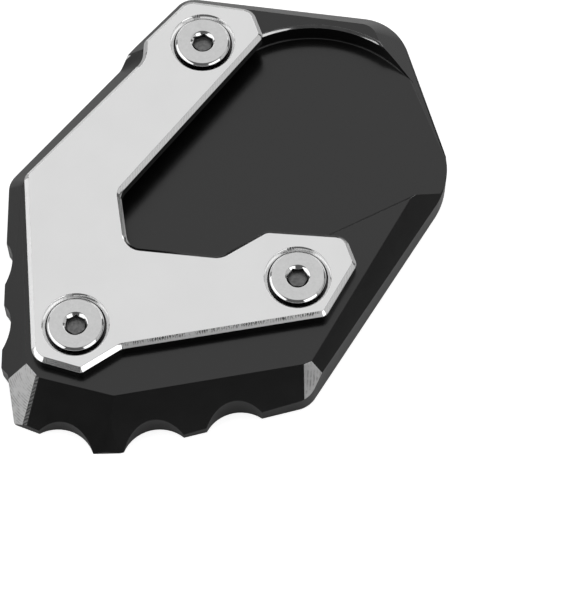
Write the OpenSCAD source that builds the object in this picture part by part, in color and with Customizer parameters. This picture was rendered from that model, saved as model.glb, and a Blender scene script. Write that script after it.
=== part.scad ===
// Foot enlarger for a motorbike's side stand: a thick black base plate with
// scalloped teeth and a pocket that takes the stand's own foot, and a bright
// clamp plate that three low-head socket screws draw down over the foot's edge.
// Millimetres. The origin is on the ground, under the middle of the part.

/* [Base plate] */
// Width over the left wall and the round nose
base_w = 99.4; // [90:0.1:112]
// Length over the front tooth and the back edge
base_l = 110.2; // [100:0.1:122]
// Thickness of the base plate
base_t = 12.5; // [10:0.5:16]
// Radius of the round nose at the pocket's mouth
nose_r = 18; // [12:1:22]
// Radius of the back right corner, seen from above
back_corner_r = 9.5; // [8:0.5:15]
// Radius of the scallops in the left side
scallop_r = 7.7; // [6:0.1:8.5]
// Radius of the scallops in the front
front_scallop_r = 8.3; // [7:0.1:9]
// Fall of the front face for each millimetre of run
front_fall = 1.42; // [1.3:0.02:1.44]
// Fall of the front left face for each millimetre of run
front_left_fall = 1.28; // [1.2:0.02:1.3]
// Fall of the left face for each millimetre of run
left_fall = 1.3; // [1.2:0.05:1.6]
// Fall of the back and right faces for each millimetre of run
side_fall = 1.2; // [1:0.05:1.5]

/* [Pocket] */
// Radius of the pocket's round end
pocket_r = 28; // [25:0.5:29]
// Depth of the pocket below the base plate's top
pocket_depth = 5; // [3:0.5:7]
// Chamfer along the pocket's top edge
pocket_edge = 0.6; // [0.2:0.1:1]

/* [Clamp plate] */
// Thickness of the clamp plate
plate_t = 3.5; // [3:0.1:5]
// Bevel round the clamp plate's top edge
plate_bevel = 1; // [0.4:0.1:1.2]
// How far the base plate's top reaches past the clamp plate on the left
left_ledge = 1; // [0.2:0.1:2]

/* [Screws] */
// Thread diameter of the screws
screw_d = 6; // [5:0.5:8]
// Length of a screw under its head
screw_l = 10; // [8:0.5:11]
// Diameter of a screw's head
head_d = 12.5; // [10:0.5:13]
// Height of a screw's head
head_h = 3; // [2.4:0.1:3.4]
// Chamfer round the head's top
head_edge = 0.5; // [0.2:0.1:0.6]
// How far a head stands above the clamp plate
head_proud = 0.6; // [0.4:0.1:1]
// Width across the flats of the hexagon socket
socket_af = 4; // [3:0.5:5]
// Chamfer at the socket's mouth, from its flats
socket_edge = 0.75; // [0.4:0.05:0.9]
// Depth of the hexagon socket
socket_depth = 2; // [1.2:0.1:2.2]
// Gap between a head and its counterbore
head_gap = 0.4; // [0.3:0.1:1]
// Chamfer at the counterbore's mouth
mouth_edge = 0.8; // [0.3:0.05:1]
// Gap between a screw and its clearance hole in the clamp plate
hole_gap = 0.3; // [0.1:0.1:0.6]
// How far the back screw's socket is turned, in degrees
back_turn = 22; // [0:2:58]
// How far the left screw's socket is turned, in degrees
left_turn = 28; // [0:2:58]

/* [Hidden] */
$fn = 96;

anodised_black = "#1f2023";
satin_silver = "#d8d9da";
screw_steel = "#e4e3df";

left = -base_w / 2;
right = base_w / 2;
front = -base_l / 2;
back = base_l / 2;

// Room that a cutting shape takes past the face it cuts
over = 0.2;
// Reach of the large cutting blocks
cut_reach = 160;
// How far an arc is laid past the lines it joins, so that it crosses them cleanly
lap = 0.005;
thread_gap = 0.05;
tapped_extra = 1.2;
drill_point = 1.6;

base_z = base_t;
plate_z = base_t + plate_t;
floor_z = base_t - pocket_depth;
seat_depth = head_h - head_proud;
counterbore_r = head_d / 2 + head_gap;

screw_back_at = [left + 43.8, back - 15.8];
screw_left_at = [left + 17.1, front + 24];
screw_right_at = [right - 34, front + 35.3];
screw_places = [screw_back_at, screw_left_at, screw_right_at];

// Outline of the base plate's upright wall, anticlockwise: x, y, corner radius
base_outline = [
    [left + 39, back + 0.2, 3.5],
    [left + 27.6, back - 12.8, 6],
    [left + 24.6, back - 17, 6],
    [left + 0.2, back - 47, 6],
    [left, front + 18.6, 0.8],
    [left + 1.8, front + 16.1, 2],
    [left + 3, front + 6.9, 1],
    [left + 20.4, front, 0.8],
    [left + 26.5, front + 0.1, 0.8],
    [right - 31.4, front + 11, 6],
    [right + 1.5, front + 64, nose_r],
    [right - 9.8, back - 5, back_corner_r]
];

// Round cutters that make the scallops: x, y, radius
scallops = [
    [left - 5.7, front + 28, scallop_r],
    [left - 5.9, front + 42.9, scallop_r],
    [left + 12.7, front - 2.6, front_scallop_r],
    [left + 35.1, front - 2.6, front_scallop_r],
    [left + 52.9, front + 1.4, front_scallop_r]
];

// Corners of the base plate's flat top, anticlockwise from the back left
top_back_left = [left + 41, back - 3.1];
top_step_out = [left + 21.2, back - 25.6];
top_step = [left + 28.5, back - 21.6];
top_left_back = [left + 4.6 - left_ledge, back - 50];
top_left_front = [left + 7.4 - left_ledge, front + 16.3];
top_facet = [left + 9.2, front + 13];
top_front = [left + 25.6, front + 8.7];
top_right_front = [right - 32.7, front + 16.1];
top_right_facet = [right - 31, front + 16.8];
top_nose = [right - 3.4, front + 65.7];
top_back_right = [right - 16.6, back - 9.2];

// Fall of the two small milled corner faces
left_facet_fall = 1.4;
right_facet_fall = 1.5;
// Radius of the tapered cutter where the back left face steps out
step_r = 7;

// The pocket's round end is tangent to a line at each of these two directions
pocket_at = [right - 30.4, back - 37.7];
pocket_left_dir = 141.6;
pocket_mouth_dir = 45;
pocket_half = (pocket_left_dir - pocket_mouth_dir) / 2;
pocket_tip = pocket_at + pocket_r / cos(pocket_half)
    * [cos(pocket_left_dir - pocket_half), sin(pocket_left_dir - pocket_half)];
pocket_mouth_reach = 26;
pocket_mouth_end = pocket_at
    + pocket_r * [cos(pocket_mouth_dir), sin(pocket_mouth_dir)]
    + pocket_mouth_reach * [sin(pocket_mouth_dir), -cos(pocket_mouth_dir)];

// Outline of the pocket, clockwise, so that the metal lies on the left
pocket_outline = [
    [pocket_tip[0], pocket_tip[1], pocket_r],
    [pocket_mouth_end[0], pocket_mouth_end[1], 0],
    [right + 7.6, front + 63.8, 0],
    [right - 8.5, front + 57.2, 0],
    [left + 51, front + 36.8, 12],
    [left + 23.2, front + 38.5, 6],
    [left + 21, back - 52.9, 6]
];

// Outline of the clamp plate at the foot of its bevel, anticlockwise
plate_outline = [
    [left + 40, back - 4.3, 3],
    [left + 30.3, back - 15.2, 2],
    [left + 30.1, back - 20.1, 5],
    [left + 4.3, back - 49.7, 2.5],
    [left + 7.8, front + 16.2, 4],
    [left + 18.6, front + 12.9, 1.6],
    [left + 27.2, front + 18.6, 2.5],
    [right - 27.8, front + 26.4, 2],
    [right - 20.9, front + 38.8, 2],
    [right - 23.4, front + 45.8, 3.5],
    [right - 41, front + 47.1, 3],
    [right - 51, front + 40.8, 4],
    [left + 28, front + 43, 3.5],
    [left + 26, back - 53.9, 3],
    [left + 57.7, back - 13.8, 2],
    [left + 55.2, back - 6.7, 3.5]
];

function xy(corner) = [corner[0], corner[1]];
function unit(v) = v / norm(v);
function at(outline, i) = outline[(i + len(outline)) % len(outline)];
function way_in(o, i) = unit(xy(at(o, i)) - xy(at(o, i - 1)));
function way_out(o, i) = unit(xy(at(o, i + 1)) - xy(at(o, i)));
function bends_left(o, i) = cross(way_in(o, i), way_out(o, i)) > 0;
function doubled_area(o, i = 0) = i == len(o) ? 0
    : cross(xy(o[i]), xy(at(o, i + 1))) + doubled_area(o, i + 1);
function is_hollow(o, i) = o[i][2] > 0 && bends_left(o, i) != (doubled_area(o) > 0);
function is_round(o, i) = o[i][2] > 0 && bends_left(o, i) == (doubled_area(o) > 0);
function tangent_length(o, i) = let (c = way_in(o, i) * way_out(o, i))
    o[i][2] * sqrt((1 - c) / (1 + c));
function arc_start(o, i) = xy(o[i]) - tangent_length(o, i) * way_in(o, i);
function arc_end(o, i) = xy(o[i]) + tangent_length(o, i) * way_out(o, i);
function inward(o, i) = let (d = way_in(o, i), s = bends_left(o, i) ? 1 : -1)
    s * [-d[1], d[0]];
function arc_centre(o, i) = arc_start(o, i) + o[i][2] * inward(o, i);
function crossing(r) = sqrt(2 * r * lap);

// The corner of an outline outside its arc, which reaches a little past the lines
module corner_waste(o, i) {
    centre = arc_centre(o, i);
    corners = [arc_start(o, i), xy(o[i]), arc_end(o, i)];
    difference() {
        polygon([centre, for (p = corners) p + over * unit(p - centre)]);
        translate(centre) circle(r = o[i][2] + lap);
    }
}

// The points of a corner: a hollow one runs in to the centre of its arc
function corner_points(o, i) = is_hollow(o, i)
    ? [arc_start(o, i), arc_centre(o, i), arc_end(o, i)] : [xy(o[i])];

// A polygon with each corner rounded to its own radius, inside and outside
module rounded_outline(o) {
    difference() {
        polygon([for (i = [0:len(o) - 1]) each corner_points(o, i)]);
        for (i = [0:len(o) - 1]) {
            if (is_hollow(o, i)) translate(arc_centre(o, i)) circle(r = o[i][2] + lap);
            if (is_round(o, i)) corner_waste(o, i);
        }
    }
}

// Cuts a 45 degree edge along one straight stretch, with the metal on its left
module straight_edge_cut(from, to, size, z) {
    way = to - from;
    translate([from[0], from[1], z])
        rotate([0, 0, atan2(way[1], way[0])])
            rotate([90, 0, 90])
                linear_extrude(norm(way))
                    polygon([[-over, -size - over], [size + over, over], [-over, over]]);
}

// Cuts the same edge round one rounded corner. In a hollow corner the cut runs
// a little past the arc's ends, where it takes nothing more than its neighbours.
module corner_edge_cut(o, i, size, z) {
    centre = arc_centre(o, i);
    r = o[i][2] + lap;
    reach = 3 * (r + size);
    to_start = reach * unit(arc_start(o, i) - centre);
    to_tip = 1.5 * reach * unit(xy(o[i]) - centre);
    to_end = reach * unit(arc_end(o, i) - centre);
    before = -2 * crossing(r) * way_in(o, i);
    after = 2 * crossing(r) * way_out(o, i);
    height = size + 2 * over;
    translate([centre[0], centre[1], z - size - over])
        intersection() {
            linear_extrude(height)
                polygon(bends_left(o, i) ? [[0, 0], to_start, to_tip, to_end]
                    : [before, before + to_start, to_tip, after + to_end, after]);
            if (bends_left(o, i))
                difference() {
                    cylinder(h = height, r = r + over);
                    cylinder(h = height, r1 = r + over, r2 = r - size - over);
                }
            else
                cylinder(h = height, r1 = r - over, r2 = r + size + over);
        }
}

// Cuts a 45 degree edge of one size all along an outline, and runs each straight
// cut on past the corners where the metal turns away from it
module outline_edge_cut(o, size, z) {
    for (i = [0:len(o) - 1]) {
        next = (i + 1) % len(o);
        way = (size + over) * way_out(o, i);
        from = arc_end(o, i) - (bends_left(o, i) ? 1 : 0) * way;
        to = arc_start(o, next) + (bends_left(o, next) ? 1 : 0) * way;
        straight_edge_cut(from, to, size, z);
        if (o[i][2] > 0) corner_edge_cut(o, i, size, z);
    }
}

// Cuts away what lies above a sloping face that starts on a line of the flat top
module slope_cut(from, to, fall, behind = cut_reach) {
    way = to - from;
    translate([from[0], from[1], base_z])
        rotate([0, 0, atan2(way[1], way[0])])
            rotate([atan(fall), 0, 0])
                translate([-behind, -cut_reach, 0])
                    cube([behind + cut_reach, cut_reach, cut_reach]);
}

// Blends two sloping faces with a cone that is round to radius r at the top
module slope_blend(before, tip, after, r, fall) {
    o = [[before[0], before[1], 0], [tip[0], tip[1], r], [after[0], after[1], 0]];
    centre = arc_centre(o, 1);
    foot_r = r + base_t / fall;
    to_start = 2 * foot_r * unit(arc_start(o, 1) - centre);
    to_tip = 3 * foot_r * unit(tip - centre);
    to_end = 2 * foot_r * unit(arc_end(o, 1) - centre);
    translate(centre)
        difference() {
            translate([0, 0, -over])
                linear_extrude(base_t + 2 * over)
                    polygon([[0, 0], to_start, to_tip, to_end]);
            translate([0, 0, -over])
                cylinder(h = base_t + 2 * over, r1 = foot_r + over / fall + lap,
                    r2 = r - over / fall + lap);
        }
}

// All the sloping faces round the base plate
module base_slopes() {
    slope_cut(top_back_left, top_step_out, side_fall);
    slope_cut(top_step, top_left_back, side_fall, 0);
    step_way = unit(top_left_back - top_step);
    step_at = top_step + step_r * [step_way[1], -step_way[0]];
    translate([step_at[0], step_at[1], base_z - step_r * side_fall])
        cylinder(h = step_r * side_fall + over, r1 = lap, r2 = step_r + over / side_fall + lap);
    slope_cut(top_left_back, top_left_front, left_fall);
    slope_cut(top_left_front, top_facet, left_facet_fall);
    slope_cut(top_facet, top_front, front_left_fall);
    slope_cut(top_front, top_right_front, front_fall);
    slope_cut(top_right_front, top_right_facet, right_facet_fall);
    slope_cut(top_right_facet, top_nose, side_fall);
    slope_cut(top_nose, top_back_right, side_fall);
    slope_cut(top_back_right, top_back_left, side_fall);
    slope_blend(top_nose, top_back_right, top_back_left, 4, side_fall);
    slope_blend(top_back_right, top_back_left, top_step_out, 2, side_fall);
    slope_blend(top_facet, top_front, top_right_front, 1.5, front_left_fall);
    slope_blend(top_step, top_left_back, top_left_front, 3, side_fall);
}

// Blind tapped hole for one screw, with the drill's cone at its end
module tapped_hole() {
    depth = screw_l - (plate_t - seat_depth) + tapped_extra;
    r = screw_d / 2 + thread_gap;
    translate([0, 0, base_z - depth]) cylinder(h = depth + over, r = r);
    translate([0, 0, base_z - depth - drill_point])
        cylinder(h = drill_point, r1 = 0, r2 = r);
}

module base_plate() {
    color(anodised_black)
        difference() {
            linear_extrude(base_t)
                difference() {
                    rounded_outline(base_outline);
                    for (s = scallops) translate([s[0], s[1]]) circle(r = s[2]);
                }
            base_slopes();
            translate([0, 0, floor_z])
                linear_extrude(pocket_depth + over)
                    rounded_outline(pocket_outline);
            outline_edge_cut(pocket_outline, pocket_edge, base_z);
            for (place = screw_places) translate(place) tapped_hole();
        }
}

// Clearance hole, counterbore and chamfered mouth for one screw
module screw_seat() {
    hole_r = screw_d / 2 + hole_gap;
    translate([0, 0, base_z - over]) cylinder(h = plate_t + 2 * over, r = hole_r);
    translate([0, 0, plate_z - seat_depth])
        cylinder(h = seat_depth + over, r = counterbore_r);
    translate([0, 0, plate_z - mouth_edge])
        cylinder(h = mouth_edge + over, r1 = counterbore_r, r2 = counterbore_r + mouth_edge + over);
}

module clamp_plate() {
    color(satin_silver)
        difference() {
            translate([0, 0, base_z]) linear_extrude(plate_t) rounded_outline(plate_outline);
            outline_edge_cut(plate_outline, plate_bevel, plate_z);
            for (place = screw_places) translate(place) screw_seat();
        }
}

// Low-head socket screw, standing at the height where its head meets its seat
module screw(place, turn) {
    tip_edge = screw_d / 10;
    socket_r = socket_af / 2 / cos(30);
    color(screw_steel)
        translate([place[0], place[1], plate_z - seat_depth])
            difference() {
                union() {
                    cylinder(h = head_h - head_edge, d = head_d);
                    translate([0, 0, head_h - head_edge])
                        cylinder(h = head_edge, r1 = head_d / 2, r2 = head_d / 2 - head_edge);
                    translate([0, 0, tip_edge - screw_l])
                        cylinder(h = screw_l - tip_edge + over, d = screw_d);
                    translate([0, 0, -screw_l])
                        cylinder(h = tip_edge, r1 = screw_d / 2 - tip_edge, r2 = screw_d / 2);
                }
                translate([0, 0, head_h - socket_depth])
                    rotate([0, 0, turn])
                        cylinder(h = socket_depth + over, r = socket_r, $fn = 6);
                translate([0, 0, head_h - socket_edge - over])
                    cylinder(h = socket_edge + 2 * over, r1 = socket_af / 2 - over,
                        r2 = socket_af / 2 + socket_edge + over);
            }
}

module screw_back() { screw(screw_back_at, back_turn); }
module screw_left() { screw(screw_left_at, left_turn); }
module screw_right() { screw(screw_right_at, 0); }

base_plate();
clamp_plate();
screw_back();
screw_left();
screw_right();
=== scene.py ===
import math

import bpy
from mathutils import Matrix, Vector


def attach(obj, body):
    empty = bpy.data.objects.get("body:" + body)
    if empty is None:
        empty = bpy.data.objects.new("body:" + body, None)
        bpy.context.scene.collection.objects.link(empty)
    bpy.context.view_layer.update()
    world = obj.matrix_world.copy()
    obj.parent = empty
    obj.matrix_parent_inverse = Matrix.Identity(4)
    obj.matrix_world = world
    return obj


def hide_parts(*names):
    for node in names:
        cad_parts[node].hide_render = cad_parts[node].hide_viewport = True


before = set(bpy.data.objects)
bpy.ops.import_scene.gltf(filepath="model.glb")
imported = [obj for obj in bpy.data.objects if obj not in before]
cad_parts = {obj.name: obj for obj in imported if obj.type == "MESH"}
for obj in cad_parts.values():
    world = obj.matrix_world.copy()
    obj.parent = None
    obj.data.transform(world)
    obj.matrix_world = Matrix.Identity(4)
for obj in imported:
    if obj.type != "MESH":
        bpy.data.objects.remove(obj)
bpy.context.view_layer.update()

# Base plate
# The thick black plate that stands on the ground: aluminium, milled to shape with
# scallops, sloping sides and a pocket for the stand's foot, then anodised. The
# pocket's edge and two corner faces were milled after that and are bare metal.


def top_of(node):
    """The height of a CAD solid's highest point."""
    return max(vertex.co.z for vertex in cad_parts[node].data.vertices)


def merged_copy(node, name):
    """A copy of a CAD solid as one closed skin, with its flat triangles joined into whole faces."""
    piece = bpy.data.objects.new(name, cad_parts[node].data.copy())
    bpy.context.collection.objects.link(piece)
    bpy.ops.object.select_all(action="DESELECT")
    piece.select_set(True)
    bpy.context.view_layer.objects.active = piece
    bpy.ops.mesh.customdata_custom_splitnormals_clear()
    bpy.ops.object.mode_set(mode="EDIT")
    bpy.ops.mesh.select_all(action="SELECT")
    bpy.ops.mesh.remove_doubles(threshold=1e-6)
    bpy.ops.mesh.dissolve_limited(angle_limit=math.radians(0.1))
    bpy.ops.mesh.select_all(action="DESELECT")
    bpy.ops.object.mode_set(mode="OBJECT")
    return piece


def give_finishes(piece, finishes):
    """Fills a piece's material slots, in the order given."""
    piece.data.materials.clear()
    for finish in finishes:
        piece.data.materials.append(finish)


def break_edges(piece, width):
    """Takes the sharpness off every edge, as deburring does, and shades the flat faces flat."""
    bevel = piece.modifiers.new("broken_edges", "BEVEL")
    bevel.width = width
    bevel.segments = 2
    bevel.limit_method = "ANGLE"
    bevel.angle_limit = math.radians(25)
    bevel.use_clamp_overlap = False
    bpy.ops.object.modifier_apply(modifier=bevel.name)
    bpy.ops.object.shade_smooth()
    weights = piece.modifiers.new("flat_faces", "WEIGHTED_NORMAL")
    bpy.ops.object.modifier_apply(modifier=weights.name)


def linear(hex_colour):
    """The linear colour of an sRGB hex value."""
    parts = [int(hex_colour[i : i + 2], 16) / 255 for i in (1, 3, 5)]
    return [v / 12.92 if v <= 0.04045 else ((v + 0.055) / 1.055) ** 2.4 for v in parts] + [1.0]


def add_node(tree, kind, sockets=None, **settings):
    """Adds a shader node with its settings, and gives its sockets a value or a link each."""
    node = tree.nodes.new(kind)
    for name, value in settings.items():
        setattr(node, name, value)
    for name, value in (sockets or {}).items():
        if isinstance(value, bpy.types.NodeSocket):
            tree.links.new(value, node.inputs[name])
        else:
            node.inputs[name].default_value = value
    return node


def new_material(name):
    """An empty node material and its tree."""
    material = bpy.data.materials.new(name)
    material.use_nodes = True
    material.node_tree.nodes.clear()
    return material, material.node_tree


# Black anodised aluminium: a dyed oxide layer a few hundredths of a millimetre
# thick, over milled metal. It is nearly black, with a soft grey sheen that
# comes from its surface alone, and very faint cutter marks.
anodised_black, tree = new_material("anodised_aluminium_black")
place = add_node(tree, "ShaderNodeTexCoord").outputs["Object"]
blotches = add_node(tree, "ShaderNodeTexNoise", {
    "Vector": place, "Scale": 1 / 0.006, "Detail": 3.0, "Roughness": 0.6})
oxide = add_node(tree, "ShaderNodeMix", {
    "Factor": blotches.outputs["Fac"],
    "A": linear("#0b0b0b"), "B": linear("#0f0f0f")}, data_type="RGBA")
sheen = add_node(tree, "ShaderNodeMapRange", {
    "Value": blotches.outputs["Fac"],
    "From Min": 0.3, "From Max": 0.7, "To Min": 0.18, "To Max": 0.22})
grain = add_node(tree, "ShaderNodeTexNoise", {
    "Vector": place, "Scale": 1 / 0.0004, "Detail": 2.0, "Roughness": 0.6})
grain_bump = add_node(tree, "ShaderNodeBump", {
    "Height": grain.outputs["Fac"], "Strength": 0.12, "Distance": 0.00002})
oxide_surface = add_node(tree, "ShaderNodeBsdfPrincipled", {
    "Base Color": oxide.outputs["Result"], "Roughness": sheen.outputs["Result"],
    "Normal": grain_bump.outputs["Normal"], "Metallic": 0.0, "IOR": 1.5})
add_node(tree, "ShaderNodeOutputMaterial", {"Surface": oxide_surface.outputs["BSDF"]})

# Aluminium bared by a face cutter after anodising. The cutter leaves arcs about
# 0.7 mm apart, which fade in and out and catch the light as bright and grey lines.
# A Wave node's lines repeat after 0.314 of its unit, so 1 / 0.0022 gives 0.7 mm.
cutter_centre = Vector((-0.0411, -0.041, 0.0129))
milled_bare, tree = new_material("milled_aluminium_bare")
place = add_node(tree, "ShaderNodeTexCoord").outputs["Object"]
from_cutter = add_node(tree, "ShaderNodeMapping", {
    "Vector": place, "Location": -cutter_centre})
arcs = add_node(tree, "ShaderNodeTexWave", {
    "Vector": from_cutter.outputs["Vector"], "Scale": 1 / 0.0022, "Distortion": 0.8,
    "Detail": 2.0, "Detail Scale": 1.5}, wave_type="RINGS", rings_direction="SPHERICAL")
smears = add_node(tree, "ShaderNodeTexNoise", {
    "Vector": place, "Scale": 1 / 0.0016, "Detail": 3.0, "Roughness": 0.6})
smear_depth = add_node(tree, "ShaderNodeMapRange", {
    "Value": smears.outputs["Fac"], "From Min": 0.4, "From Max": 0.65})
arc_depth = add_node(tree, "ShaderNodeMath", {
    0: arcs.outputs["Fac"], 1: smear_depth.outputs["Result"]}, operation="MULTIPLY")
bare_tone = add_node(tree, "ShaderNodeMix", {
    "Factor": arc_depth.outputs["Value"],
    "A": linear("#d0d0d0"), "B": linear("#989898")}, data_type="RGBA")
arc_bump = add_node(tree, "ShaderNodeBump", {
    "Height": arc_depth.outputs["Value"], "Strength": 0.5, "Distance": 0.00005})
bare_surface = add_node(tree, "ShaderNodeBsdfPrincipled", {
    "Base Color": bare_tone.outputs["Result"], "Metallic": 1.0, "Roughness": 0.34,
    "Normal": arc_bump.outputs["Normal"]})
add_node(tree, "ShaderNodeOutputMaterial", {"Surface": bare_surface.outputs["BSDF"]})

# Aluminium torn by the cutter's last step: a dark rough strip with chatter ticks
# about 0.6 mm apart across it.
torn_edge, tree = new_material("torn_aluminium_edge")
place = add_node(tree, "ShaderNodeTexCoord").outputs["Object"]
ticks = add_node(tree, "ShaderNodeTexWave", {
    "Vector": place, "Scale": 1 / 0.0019, "Distortion": 6.0, "Detail": 3.0,
    "Detail Scale": 1.5}, wave_type="BANDS", bands_direction="Y")
pits = add_node(tree, "ShaderNodeTexNoise", {
    "Vector": place, "Scale": 1 / 0.0005, "Detail": 3.0, "Roughness": 0.7})
torn_depth = add_node(tree, "ShaderNodeMath", {
    0: ticks.outputs["Fac"], 1: pits.outputs["Fac"]}, operation="MULTIPLY")
torn_tone = add_node(tree, "ShaderNodeMix", {
    "Factor": torn_depth.outputs["Value"],
    "A": linear("#3a3a3a"), "B": linear("#a0a0a0")}, data_type="RGBA")
torn_bump = add_node(tree, "ShaderNodeBump", {
    "Height": torn_depth.outputs["Value"], "Strength": 0.8, "Distance": 0.0001})
torn_surface = add_node(tree, "ShaderNodeBsdfPrincipled", {
    "Base Color": torn_tone.outputs["Result"], "Metallic": 1.0, "Roughness": 0.45,
    "Normal": torn_bump.outputs["Normal"]})
add_node(tree, "ShaderNodeOutputMaterial", {"Surface": torn_surface.outputs["BSDF"]})

# The pocket's edge was cut bright by a fine chamfer tool. Its tone is painted dark and patchy, as
# painted shade for the dark reflections along it, so it renders as a dark mirror.
cut_painted_dark, tree = new_material("chamfered_aluminium_painted_dark")
place = add_node(tree, "ShaderNodeTexCoord").outputs["Object"]
edge_patches = add_node(tree, "ShaderNodeTexNoise", {
    "Vector": place, "Scale": 1 / 0.002, "Detail": 3.0, "Roughness": 0.6})
# Painted shade: the tone is kept well below bare aluminium, for the dark reflections along the
# pocket's edge.
painted_dark_tone = add_node(tree, "ShaderNodeMix", {
    "Factor": edge_patches.outputs["Fac"],
    "A": linear("#8c8c8c"), "B": linear("#c4c4c4")}, data_type="RGBA")
painted_dark_surface = add_node(tree, "ShaderNodeBsdfPrincipled", {
    "Base Color": painted_dark_tone.outputs["Result"], "Metallic": 1.0, "Roughness": 0.1})
add_node(tree, "ShaderNodeOutputMaterial", {"Surface": painted_dark_surface.outputs["BSDF"]})

base = merged_copy("base_plate", "base_plate_body")
base_finishes = (anodised_black, milled_bare, cut_painted_dark, torn_edge)
give_finishes(base, base_finishes)
base_top = top_of("base_plate")
edge_depth = 0.0007
for face in base.data.polygons:
    normal = face.normal
    left_facet = 0.4 < normal.z < 0.65 and normal.x < -0.5 and normal.y < -0.4
    right_facet = 0.4 < normal.z < 0.6 and normal.y < -0.5 and 0.25 < normal.x < 0.45
    pocket_edge = 0.69 < normal.z < 0.72 and face.center.z > base_top - edge_depth
    if left_facet or right_facet:
        finish = milled_bare
    elif pocket_edge:
        finish = cut_painted_dark
    else:
        finish = anodised_black
    face.material_index = base_finishes.index(finish)
    face.select = left_facet

# The torn strip runs down the right side of the left corner face
strip_top = Vector((-0.04127, -0.04176, 0.01198))
strip_foot = Vector((-0.0446, -0.04863, 0.00221))
left_facet_normal = Vector((-0.62, -0.526, 0.581))
strip_side = left_facet_normal.cross(strip_foot - strip_top).normalized()
bpy.ops.object.mode_set(mode="EDIT")
bpy.ops.mesh.bisect(plane_co=strip_top, plane_no=strip_side)
bpy.ops.object.mode_set(mode="OBJECT")
for face in base.data.polygons:
    bare = face.material_index == base_finishes.index(milled_bare)
    in_strip = (face.center - strip_top).dot(strip_side) > 0
    if bare and in_strip and face.normal.x < -0.5:
        face.material_index = base_finishes.index(torn_edge)

# The cutter's nose leaves a small round where the pocket's wall meets its floor
pocket_depth = 0.005
nose_radius = 0.0003
pocket_floor = base_top - pocket_depth
marks = base.data.attributes.new("bevel_weight_edge", "FLOAT", "EDGE")
for edge in base.data.edges:
    on_floor = [abs(base.data.vertices[i].co.z - pocket_floor) < 1e-5 for i in edge.vertices]
    marks.data[edge.index].value = 1.0 if all(on_floor) else 0.0
round_foot = base.modifiers.new("wall_foot", "BEVEL")
round_foot.width = nose_radius
round_foot.segments = 4
round_foot.limit_method = "WEIGHT"
round_foot.use_clamp_overlap = False
bpy.ops.object.modifier_apply(modifier=round_foot.name)
break_edges(base, width=0.00012)
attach(base, "root")
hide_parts("base_plate")

# Clamp plate
# The 3.5 mm plate that holds the stand's foot down in the pocket. It was anodised
# black all over, and then its top was faced and its edges chamfered, so they are
# bare satin and bright metal while the upright walls and the underside stay black.
clamp_top = top_of("clamp_plate")

# Faced and fine-blasted aluminium: an even silver grey with a soft sheen.
faced_satin, tree = new_material("faced_aluminium_satin")
place = add_node(tree, "ShaderNodeTexCoord").outputs["Object"]
clouds = add_node(tree, "ShaderNodeTexNoise", {
    "Vector": place, "Scale": 1 / 0.012, "Detail": 3.0, "Roughness": 0.55})
satin_tone = add_node(tree, "ShaderNodeMix", {
    "Factor": clouds.outputs["Fac"],
    "A": linear("#d2d2d2"), "B": linear("#d9d9d9")}, data_type="RGBA")
satin_grain = add_node(tree, "ShaderNodeTexNoise", {
    "Vector": place, "Scale": 1 / 0.0003, "Detail": 2.0, "Roughness": 0.6})
satin_bump = add_node(tree, "ShaderNodeBump", {
    "Height": satin_grain.outputs["Fac"], "Strength": 0.1, "Distance": 0.00002})
satin_surface = add_node(tree, "ShaderNodeBsdfPrincipled", {
    "Base Color": satin_tone.outputs["Result"], "Metallic": 1.0, "Roughness": 0.33,
    "Normal": satin_bump.outputs["Normal"]})
add_node(tree, "ShaderNodeOutputMaterial", {"Surface": satin_surface.outputs["BSDF"]})

# Aluminium cut by a fine chamfer tool: almost a mirror, with faint lines of
# chatter across the cut about half a millimetre apart.
cut_bright, tree = new_material("chamfered_aluminium_bright")
place = add_node(tree, "ShaderNodeTexCoord").outputs["Object"]
chatter = add_node(tree, "ShaderNodeTexWave", {
    "Vector": place, "Scale": 1 / 0.0017, "Distortion": 5.0, "Detail": 3.0,
    "Detail Scale": 2.0}, wave_type="BANDS", bands_direction="X")
patches = add_node(tree, "ShaderNodeTexNoise", {
    "Vector": place, "Scale": 1 / 0.004, "Detail": 2.0, "Roughness": 0.5})
chatter_depth = add_node(tree, "ShaderNodeMath", {
    0: chatter.outputs["Fac"], 1: patches.outputs["Fac"]}, operation="MULTIPLY")
cut_tone = add_node(tree, "ShaderNodeMix", {
    "Factor": chatter_depth.outputs["Value"],
    "A": linear("#eeeeee"), "B": linear("#d6d6d6")}, data_type="RGBA")
chatter_bump = add_node(tree, "ShaderNodeBump", {
    "Height": chatter_depth.outputs["Value"], "Strength": 0.06, "Distance": 0.00004})
cut_surface = add_node(tree, "ShaderNodeBsdfPrincipled", {
    "Base Color": cut_tone.outputs["Result"], "Metallic": 1.0, "Roughness": 0.12,
    "Normal": chatter_bump.outputs["Normal"]})
add_node(tree, "ShaderNodeOutputMaterial", {"Surface": cut_surface.outputs["BSDF"]})

# The long front bevel was cut with chatter: it scatters the light, and dark ticks
# about 0.35 mm apart stand along its upper border.
cut_chattered, tree = new_material("chamfered_aluminium_chattered")
place = add_node(tree, "ShaderNodeTexCoord").outputs["Object"]
height = add_node(tree, "ShaderNodeSeparateXYZ", {"Vector": place}).outputs["Z"]
ticks_start = clamp_top - 0.0007
ticks_full = clamp_top - 0.0003
near_border = add_node(tree, "ShaderNodeMapRange", {
    "Value": height, "From Min": ticks_start, "From Max": ticks_full})
marks_across = add_node(tree, "ShaderNodeTexWave", {
    "Vector": place, "Scale": 1 / 0.0017, "Distortion": 7.0, "Detail": 3.0,
    "Detail Scale": 2.5}, wave_type="BANDS", bands_direction="X")
mark_patches = add_node(tree, "ShaderNodeTexNoise", {
    "Vector": place, "Scale": 1 / 0.003, "Detail": 3.0, "Roughness": 0.7})
patch_range = add_node(tree, "ShaderNodeMapRange", {
    "Value": mark_patches.outputs["Fac"], "From Min": 0.37, "From Max": 0.5})
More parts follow.
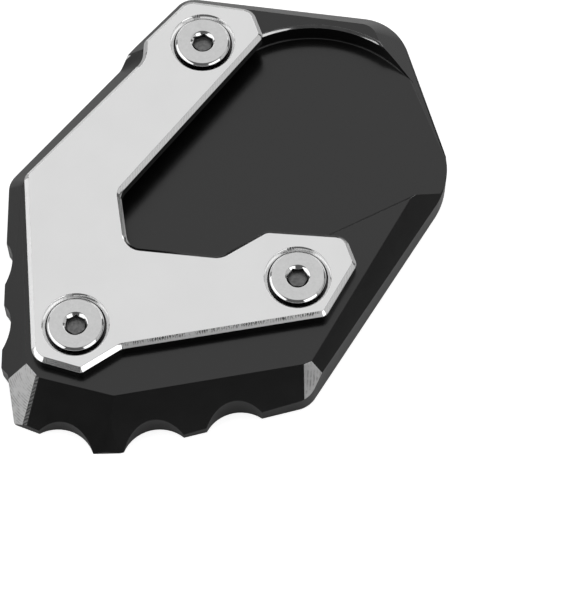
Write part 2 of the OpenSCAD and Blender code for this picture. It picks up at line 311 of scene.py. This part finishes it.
tick_there = add_node(tree, "ShaderNodeMath", {
    0: near_border.outputs["Result"], 1: patch_range.outputs["Result"]}, operation="MULTIPLY")
tick_depth = add_node(tree, "ShaderNodeMath", {
    0: marks_across.outputs["Fac"], 1: tick_there.outputs["Value"]}, operation="MULTIPLY")
chattered_tone = add_node(tree, "ShaderNodeMix", {
    "Factor": tick_depth.outputs["Value"],
    "A": linear("#eeeeee"), "B": linear("#181818")}, data_type="RGBA")
chattered_surface = add_node(tree, "ShaderNodeBsdfPrincipled", {
    "Base Color": chattered_tone.outputs["Result"], "Metallic": 1.0, "Roughness": 0.44})
add_node(tree, "ShaderNodeOutputMaterial", {"Surface": chattered_surface.outputs["BSDF"]})

# The outer bevels that face away from the front were cut a little duller, and their tone is painted
# lighter than the other chamfers' as painted light, so they stay as light as the top beside them.
cut_dull_painted_light, tree = new_material("chamfered_aluminium_dull_painted_light")
place = add_node(tree, "ShaderNodeTexCoord").outputs["Object"]
streaks = add_node(tree, "ShaderNodeTexNoise", {
    "Vector": place, "Scale": 1 / 0.0012, "Detail": 3.0, "Roughness": 0.6})
# Painted light: a near-white tone, lighter than the other chamfers', for the bevels that face away
# from the front.
painted_light_tone = add_node(tree, "ShaderNodeMix", {
    "Factor": streaks.outputs["Fac"],
    "A": linear("#f2f2f2"), "B": linear("#fdfdfd")}, data_type="RGBA")
dull_painted_light_surface = add_node(tree, "ShaderNodeBsdfPrincipled", {
    "Base Color": painted_light_tone.outputs["Result"], "Metallic": 1.0, "Roughness": 0.5})
add_node(tree, "ShaderNodeOutputMaterial", {"Surface": dull_painted_light_surface.outputs["BSDF"]})

clamp = merged_copy("clamp_plate", "clamp_plate_body")
clamp_finishes = (anodised_black, faced_satin, cut_bright, cut_chattered, cut_dull_painted_light)
give_finishes(clamp, clamp_finishes)
long_bevel_area = 4e-6
below_top = clamp_top - 0.0005
for face in clamp.data.polygons:
    normal = face.normal
    bevel = 0.5 < normal.z < 0.9
    long_front = bevel and normal.y < -0.6 and 0.05 < normal.x < 0.2
    faces_left = normal.x < -0.3 and normal.y > -0.3 and face.center.x < -0.01
    faces_back = normal.y > 0.3 and face.center.y > 0
    # Bevels turned to the left or the back get the duller cut and the painted light.
    dull_painted_light_bevel = bevel and (faces_left or faces_back) and face.area > long_bevel_area
    if long_front:
        finish = cut_chattered
    elif dull_painted_light_bevel:
        finish = cut_dull_painted_light
    elif bevel:
        finish = cut_bright
    elif normal.z > 0.9 and face.center.z > below_top:
        finish = faced_satin
    else:
        finish = anodised_black
    face.material_index = clamp_finishes.index(finish)
break_edges(clamp, width=0.00008)
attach(clamp, "root")
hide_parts("clamp_plate")

# Screws
# Three M6 low-head socket screws, turned and nickel plated, which draw the clamp
# plate down. Each head stands in a counterbore and has a chamfered rim and a
# 4 mm hexagon socket.


def foot_of_axis(node):
    """The place where a CAD screw's axis meets the ground, from the middle of its box."""
    xs = [vertex.co.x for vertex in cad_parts[node].data.vertices]
    ys = [vertex.co.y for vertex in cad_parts[node].data.vertices]
    return ((min(xs) + max(xs)) / 2, (min(ys) + max(ys)) / 2, 0.0)


screw_ends = ("back", "left", "right")
screw_centres = [foot_of_axis("screw_" + end) for end in screw_ends]
head_top = top_of("screw_back")

# Nickel-plated steel turned on a lathe: bright neutral grey with rings about
# 0.15 mm apart on the head's face, drawn at 0.3 mm so that they show.
ring_spacing = 0.0003
turned_steel, tree = new_material("turned_steel_nickel_plated")
place = add_node(tree, "ShaderNodeTexCoord").outputs["Object"]
flat_place = add_node(tree, "ShaderNodeVectorMath", {
    0: place, 1: (1.0, 1.0, 0.0)}, operation="MULTIPLY")
from_centre = None
for centre in screw_centres:
    distance = add_node(tree, "ShaderNodeVectorMath", {
        0: flat_place.outputs["Vector"], 1: centre}, operation="DISTANCE").outputs["Value"]
    from_centre = distance if from_centre is None else add_node(tree, "ShaderNodeMath", {
        0: from_centre, 1: distance}, operation="MINIMUM").outputs["Value"]
ring_turns = add_node(tree, "ShaderNodeMath", {
    0: from_centre, 1: 2 * math.pi / ring_spacing}, operation="MULTIPLY")
rings = add_node(tree, "ShaderNodeMath", {0: ring_turns.outputs["Value"]}, operation="SINE")
specks = add_node(tree, "ShaderNodeTexNoise", {
    "Vector": place, "Scale": 1 / 0.0009, "Detail": 3.0, "Roughness": 0.6})
ring_depth = add_node(tree, "ShaderNodeMath", {
    0: rings.outputs["Value"], 1: specks.outputs["Fac"]}, operation="MULTIPLY")
plating = add_node(tree, "ShaderNodeMix", {
    "Factor": specks.outputs["Fac"],
    "A": linear("#b8b8b8"), "B": linear("#c8c8c8")}, data_type="RGBA")
ring_bump = add_node(tree, "ShaderNodeBump", {
    "Height": ring_depth.outputs["Value"], "Strength": 0.05, "Distance": 0.00003})
steel_surface = add_node(tree, "ShaderNodeBsdfPrincipled", {
    "Base Color": plating.outputs["Result"], "Metallic": 1.0, "Roughness": 0.24,
    "Normal": ring_bump.outputs["Normal"]})
add_node(tree, "ShaderNodeOutputMaterial", {"Surface": steel_surface.outputs["BSDF"]})

# The socket is broached, so its walls and floor are duller than the face, and their tone is painted
# darker as painted shade in the recess.
broached_steel_painted_shade, tree = new_material("broached_steel_socket_painted_shade")
place = add_node(tree, "ShaderNodeTexCoord").outputs["Object"]
scores = add_node(tree, "ShaderNodeTexNoise", {
    "Vector": place, "Scale": 1 / 0.0006, "Detail": 3.0, "Roughness": 0.65})
# Painted shade: the tone runs from near black to mid grey, far darker than the plated face, for the
# shade inside the socket.
socket_painted_shade_tone = add_node(tree, "ShaderNodeMix", {
    "Factor": scores.outputs["Fac"],
    "A": linear("#2c2c2c"), "B": linear("#848484")}, data_type="RGBA")
score_bump = add_node(tree, "ShaderNodeBump", {
    "Height": scores.outputs["Fac"], "Strength": 0.4, "Distance": 0.00008})
broached_painted_shade_surface = add_node(tree, "ShaderNodeBsdfPrincipled", {
    "Base Color": socket_painted_shade_tone.outputs["Result"], "Metallic": 1.0, "Roughness": 0.35,
    "Normal": score_bump.outputs["Normal"]})
add_node(tree, "ShaderNodeOutputMaterial", {"Surface": broached_painted_shade_surface.outputs["BSDF"]})

# The side and rim of the head and the mouth of the socket were cut by a sharp
# tool, and are smoother than the face.
rim_steel, tree = new_material("chamfered_steel_nickel_plated")
place = add_node(tree, "ShaderNodeTexCoord").outputs["Object"]
rim_cloud = add_node(tree, "ShaderNodeTexNoise", {
    "Vector": place, "Scale": 1 / 0.0012, "Detail": 2.0, "Roughness": 0.5})
rim_tone = add_node(tree, "ShaderNodeMix", {
    "Factor": rim_cloud.outputs["Fac"],
    "A": linear("#d6d6d6"), "B": linear("#e6e6e6")}, data_type="RGBA")
rim_surface = add_node(tree, "ShaderNodeBsdfPrincipled", {
    "Base Color": rim_tone.outputs["Result"], "Metallic": 1.0, "Roughness": 0.1})
add_node(tree, "ShaderNodeOutputMaterial", {"Surface": rim_surface.outputs["BSDF"]})

screw_finishes = (turned_steel, broached_steel_painted_shade, rim_steel)
socket_reach = 0.0024
socket_bottom = head_top - 0.0021
socket_mouth = head_top - 0.0001
shank_reach = 0.005
for end, centre in zip(screw_ends, screw_centres):
    screw = merged_copy("screw_" + end, "socket_screw_" + end)
    give_finishes(screw, screw_finishes)
    for face in screw.data.polygons:
        away = math.hypot(face.center.x - centre[0], face.center.y - centre[1])
        chamfer = 0.6 < face.normal.z < 0.8
        head_side = abs(face.normal.z) < 0.1 and away > shank_reach
        if chamfer or head_side:
            finish = rim_steel
        elif away < socket_reach and socket_bottom < face.center.z < socket_mouth:
            finish = broached_steel_painted_shade
        else:
            finish = turned_steel
        face.material_index = screw_finishes.index(finish)
    break_edges(screw, width=0.00006)
    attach(screw, "root")
    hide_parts("screw_" + end)

# Floor
# A wide white card under the part. The camera sees it as pure white, and it
# still takes the part's soft shadow.
card_size = 8
card_glow = 0.8
bpy.ops.object.select_all(action="DESELECT")
bpy.ops.mesh.primitive_plane_add(size=card_size, location=(0, 0, 0))
floor = bpy.context.object
floor.name = "floor_card"
white_card, tree = new_material("white_paper_card")
ray = add_node(tree, "ShaderNodeLightPath")
own_light = add_node(tree, "ShaderNodeMath", {
    0: ray.outputs["Is Camera Ray"], 1: card_glow}, operation="MULTIPLY")
paper = add_node(tree, "ShaderNodeBsdfDiffuse", {"Color": linear("#cfcfcf")})
glow = add_node(tree, "ShaderNodeEmission", {
    "Color": (1.0, 1.0, 1.0, 1.0), "Strength": own_light.outputs["Value"]})
card_surface = add_node(tree, "ShaderNodeAddShader", {
    0: paper.outputs["BSDF"], 1: glow.outputs["Emission"]})
add_node(tree, "ShaderNodeOutputMaterial", {"Surface": card_surface.outputs["Shader"]})
floor.data.materials.append(white_card)

# Studio lights
# A large softbox above and behind gives the flat faces their even grey. Panels on
# the left, at the front right and on the right whiten the chamfers and leave dark
# gaps between them, and two more stand behind, one on each side.
world = bpy.data.worlds.new("studio")
bpy.context.scene.world = world
world.use_nodes = True
tree = world.node_tree
tree.nodes.clear()
ray = add_node(tree, "ShaderNodeLightPath")
room = add_node(tree, "ShaderNodeBackground", {
    "Color": (1.0, 1.0, 1.0, 1.0), "Strength": 0.12})
backdrop = add_node(tree, "ShaderNodeBackground", {
    "Color": (1.0, 1.0, 1.0, 1.0), "Strength": 1.0})
seen = add_node(tree, "ShaderNodeMixShader", {
    0: ray.outputs["Is Camera Ray"],
    1: room.outputs["Background"], 2: backdrop.outputs["Background"]})
add_node(tree, "ShaderNodeOutputWorld", {"Surface": seen.outputs["Shader"]})


def add_softbox(name, centre, width, height, brightness):
    """A rectangular softbox that faces the part, as bright as a white surface times brightness."""
    light = bpy.data.lights.new(name, "AREA")
    light.shape = "RECTANGLE"
    light.size = width
    light.size_y = height
    light.energy = brightness * math.pi * width * height
    box = bpy.data.objects.new(name, light)
    bpy.context.collection.objects.link(box)
    x, y, z = centre
    box.location = centre
    box.rotation_euler = (math.atan2(math.hypot(x, y), z), 0.0, math.atan2(x, -y))
    box.visible_camera = False


add_softbox("softbox_above", (0.0, 0.45, 0.95), 2.0, 1.7, 0.95)
add_softbox("panel_left", (-0.744, -0.2, 0.22), 1.3, 0.44, 1.4)
add_softbox("panel_front_right", (0.505, -0.581, 0.3), 0.58, 0.36, 1.6)
add_softbox("panel_right", (0.85, -0.05, 0.3), 0.7, 0.36, 0.5)
add_softbox("panel_back_left", (-0.72, 1.02, 0.33), 0.9, 0.45, 1.4)
add_softbox("panel_back_right", (0.72, 1.02, 0.33), 0.9, 0.45, 1.4)

# Camera
# A long lens that looks down at about 66 degrees, along the part's length. It aims
# to the front and right of the part's middle, so that the part stands at the upper
# left of the picture, as in the photograph.
aim_x, aim_y, aim_z = 0.0128, -0.02515, 0.0160
distance = 0.5506
elevation = math.radians(65.8)
camera_data = bpy.data.cameras.new("camera")
camera_data.sensor_fit = "HORIZONTAL"
camera_data.sensor_width = 36.0
camera_data.lens = 159.63
camera = bpy.data.objects.new("camera", camera_data)
bpy.context.collection.objects.link(camera)
camera.location = (
    aim_x, aim_y - distance * math.cos(elevation), aim_z + distance * math.sin(elevation))
camera.rotation_euler = (math.radians(90) - elevation, 0.0, 0.0)
bpy.context.scene.camera = camera
bpy.context.scene.view_settings.view_transform = "Standard"
